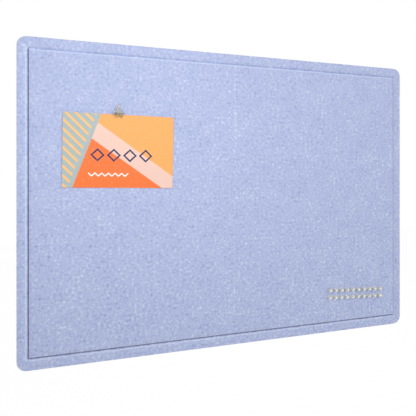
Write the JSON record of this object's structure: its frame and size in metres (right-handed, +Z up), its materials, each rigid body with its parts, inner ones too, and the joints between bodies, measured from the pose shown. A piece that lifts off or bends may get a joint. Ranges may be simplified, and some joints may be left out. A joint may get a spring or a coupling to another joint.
{
  "type": "felt bulletin board",
  "caption": "Wall-hung felt notice board with round corners and a pressed border groove; a binder clip holds a postcard on a push pin, and spare push pins stand in a rack low on the right.",
  "frame": {"origin": "middle of the wall plane, on the back of the centre mounting strip", "axes": "+X to the viewer's right, +Y into the wall, so the felt's face looks along -Y, and +Z up"},
  "size_m": [0.6096, 0.0243, 0.4572],
  "materials": {
    "felt": "heathered pressed polyester felt",
    "foam_tape": "double-sided foam tape",
    "clear_plastic": "clear moulded plastic with a faint ivory tint",
    "pin_steel": "bright drawn steel",
    "gold_plate": "gold-coloured plating on spring steel",
    "gold_wire": "pale gold-coloured plating on steel wire",
    "card": "matt printed card"
  },
  "bodies": {
    "board": {"felt_panel": "felt", "mounting_strip_centre": "foam_tape", "mounting_strip_top_left": "foam_tape", "mounting_strip_top_right": "foam_tape", "mounting_strip_bottom_left": "foam_tape", "mounting_strip_bottom_right": "foam_tape"},
    "spare_pin_01": {"spare_pin_01_head": "clear_plastic", "spare_pin_01_needle": "pin_steel"},
    "spare_pin_02": {"spare_pin_02_head": "clear_plastic", "spare_pin_02_needle": "pin_steel"},
    "spare_pin_03": {"spare_pin_03_head": "clear_plastic", "spare_pin_03_needle": "pin_steel"},
    "spare_pin_04": {"spare_pin_04_head": "clear_plastic", "spare_pin_04_needle": "pin_steel"},
    "spare_pin_05": {"spare_pin_05_head": "clear_plastic", "spare_pin_05_needle": "pin_steel"},
    "spare_pin_06": {"spare_pin_06_head": "clear_plastic", "spare_pin_06_needle": "pin_steel"},
    "spare_pin_07": {"spare_pin_07_head": "clear_plastic", "spare_pin_07_needle": "pin_steel"},
    "spare_pin_08": {"spare_pin_08_head": "clear_plastic", "spare_pin_08_needle": "pin_steel"},
    "spare_pin_09": {"spare_pin_09_head": "clear_plastic", "spare_pin_09_needle": "pin_steel"},
    "spare_pin_10": {"spare_pin_10_head": "clear_plastic", "spare_pin_10_needle": "pin_steel"},
    "spare_pin_11": {"spare_pin_11_head": "clear_plastic", "spare_pin_11_needle": "pin_steel"},
    "spare_pin_12": {"spare_pin_12_head": "clear_plastic", "spare_pin_12_needle": "pin_steel"},
    "spare_pin_13": {"spare_pin_13_head": "clear_plastic", "spare_pin_13_needle": "pin_steel"},
    "spare_pin_14": {"spare_pin_14_head": "clear_plastic", "spare_pin_14_needle": "pin_steel"},
    "spare_pin_15": {"spare_pin_15_head": "clear_plastic", "spare_pin_15_needle": "pin_steel"},
    "spare_pin_16": {"spare_pin_16_head": "clear_plastic", "spare_pin_16_needle": "pin_steel"},
    "spare_pin_17": {"spare_pin_17_head": "clear_plastic", "spare_pin_17_needle": "pin_steel"},
    "spare_pin_18": {"spare_pin_18_head": "clear_plastic", "spare_pin_18_needle": "pin_steel"},
    "spare_pin_19": {"spare_pin_19_head": "clear_plastic", "spare_pin_19_needle": "pin_steel"},
    "spare_pin_20": {"spare_pin_20_head": "clear_plastic", "spare_pin_20_needle": "pin_steel"},
    "hanging_pin": {"hanging_pin_head": "clear_plastic", "hanging_pin_needle": "pin_steel"},
    "rear_handle": {"clip_rear_handle": "gold_wire"},
    "clip": {"clip_body": "gold_plate"},
    "front_handle": {"clip_front_handle": "gold_wire"},
    "card": {"postcard": "card"}
  },
  "joints": [
    {"name": "spare_pin_01_pull", "type": "slide", "parent": "board", "child": "spare_pin_01", "axis": [0, -1, 0], "range_m": [0, 0.009]},
    {"name": "spare_pin_02_pull", "type": "slide", "parent": "board", "child": "spare_pin_02", "axis": [0, -1, 0], "range_m": [0, 0.009]},
    {"name": "spare_pin_03_pull", "type": "slide", "parent": "board", "child": "spare_pin_03", "axis": [0, -1, 0], "range_m": [0, 0.009]},
    {"name": "spare_pin_04_pull", "type": "slide", "parent": "board", "child": "spare_pin_04", "axis": [0, -1, 0], "range_m": [0, 0.009]},
    {"name": "spare_pin_05_pull", "type": "slide", "parent": "board", "child": "spare_pin_05", "axis": [0, -1, 0], "range_m": [0, 0.009]},
    {"name": "spare_pin_06_pull", "type": "slide", "parent": "board", "child": "spare_pin_06", "axis": [0, -1, 0], "range_m": [0, 0.009]},
    {"name": "spare_pin_07_pull", "type": "slide", "parent": "board", "child": "spare_pin_07", "axis": [0, -1, 0], "range_m": [0, 0.009]},
    {"name": "spare_pin_08_pull", "type": "slide", "parent": "board", "child": "spare_pin_08", "axis": [0, -1, 0], "range_m": [0, 0.009]},
    {"name": "spare_pin_09_pull", "type": "slide", "parent": "board", "child": "spare_pin_09", "axis": [0, -1, 0], "range_m": [0, 0.009]},
    {"name": "spare_pin_10_pull", "type": "slide", "parent": "board", "child": "spare_pin_10", "axis": [0, -1, 0], "range_m": [0, 0.009]},
    {"name": "spare_pin_11_pull", "type": "slide", "parent": "board", "child": "spare_pin_11", "axis": [0, -1, 0], "range_m": [0, 0.009]},
    {"name": "spare_pin_12_pull", "type": "slide", "parent": "board", "child": "spare_pin_12", "axis": [0, -1, 0], "range_m": [0, 0.009]},
    {"name": "spare_pin_13_pull", "type": "slide", "parent": "board", "child": "spare_pin_13", "axis": [0, -1, 0], "range_m": [0, 0.009]},
    {"name": "spare_pin_14_pull", "type": "slide", "parent": "board", "child": "spare_pin_14", "axis": [0, -1, 0], "range_m": [0, 0.009]},
    {"name": "spare_pin_15_pull", "type": "slide", "parent": "board", "child": "spare_pin_15", "axis": [0, -1, 0], "range_m": [0, 0.009]},
    {"name": "spare_pin_16_pull", "type": "slide", "parent": "board", "child": "spare_pin_16", "axis": [0, -1, 0], "range_m": [0, 0.009]},
    {"name": "spare_pin_17_pull", "type": "slide", "parent": "board", "child": "spare_pin_17", "axis": [0, -1, 0], "range_m": [0, 0.009]},
    {"name": "spare_pin_18_pull", "type": "slide", "parent": "board", "child": "spare_pin_18", "axis": [0, -1, 0], "range_m": [0, 0.009]},
    {"name": "spare_pin_19_pull", "type": "slide", "parent": "board", "child": "spare_pin_19", "axis": [0, -1, 0], "range_m": [0, 0.009]},
    {"name": "spare_pin_20_pull", "type": "slide", "parent": "board", "child": "spare_pin_20", "axis": [0, -1, 0], "range_m": [0, 0.009]},
    {"name": "hanging_pin_pull", "type": "slide", "parent": "board", "child": "hanging_pin", "axis": [0, -1, 0], "range_m": [0, 0.0071]},
    {"name": "clip_swing", "type": "hinge", "parent": "hanging_pin", "child": "rear_handle", "pos_m": [-0.1733, -0.0123, 0.1374], "axis": [0, 1, 0], "range_deg": [-90, 90]},
    {"name": "clip_lean", "type": "hinge", "parent": "rear_handle", "child": "clip", "pos_m": [-0.17353, -0.0123, 0.12305], "axis": [0.9999, 0, -0.0157], "range_deg": [-1.1, 0]},
    {"name": "front_handle_fold", "type": "hinge", "parent": "clip", "child": "front_handle", "pos_m": [-0.17354, -0.01488, 0.12219], "axis": [0.9999, 0, -0.0157], "range_deg": [0, 145]},
    {"name": "card_pull", "type": "slide", "parent": "clip", "child": "card", "axis": [-0.0157, 0.0199, -0.9997], "range_m": [0, 0.0049]}
  ]
}
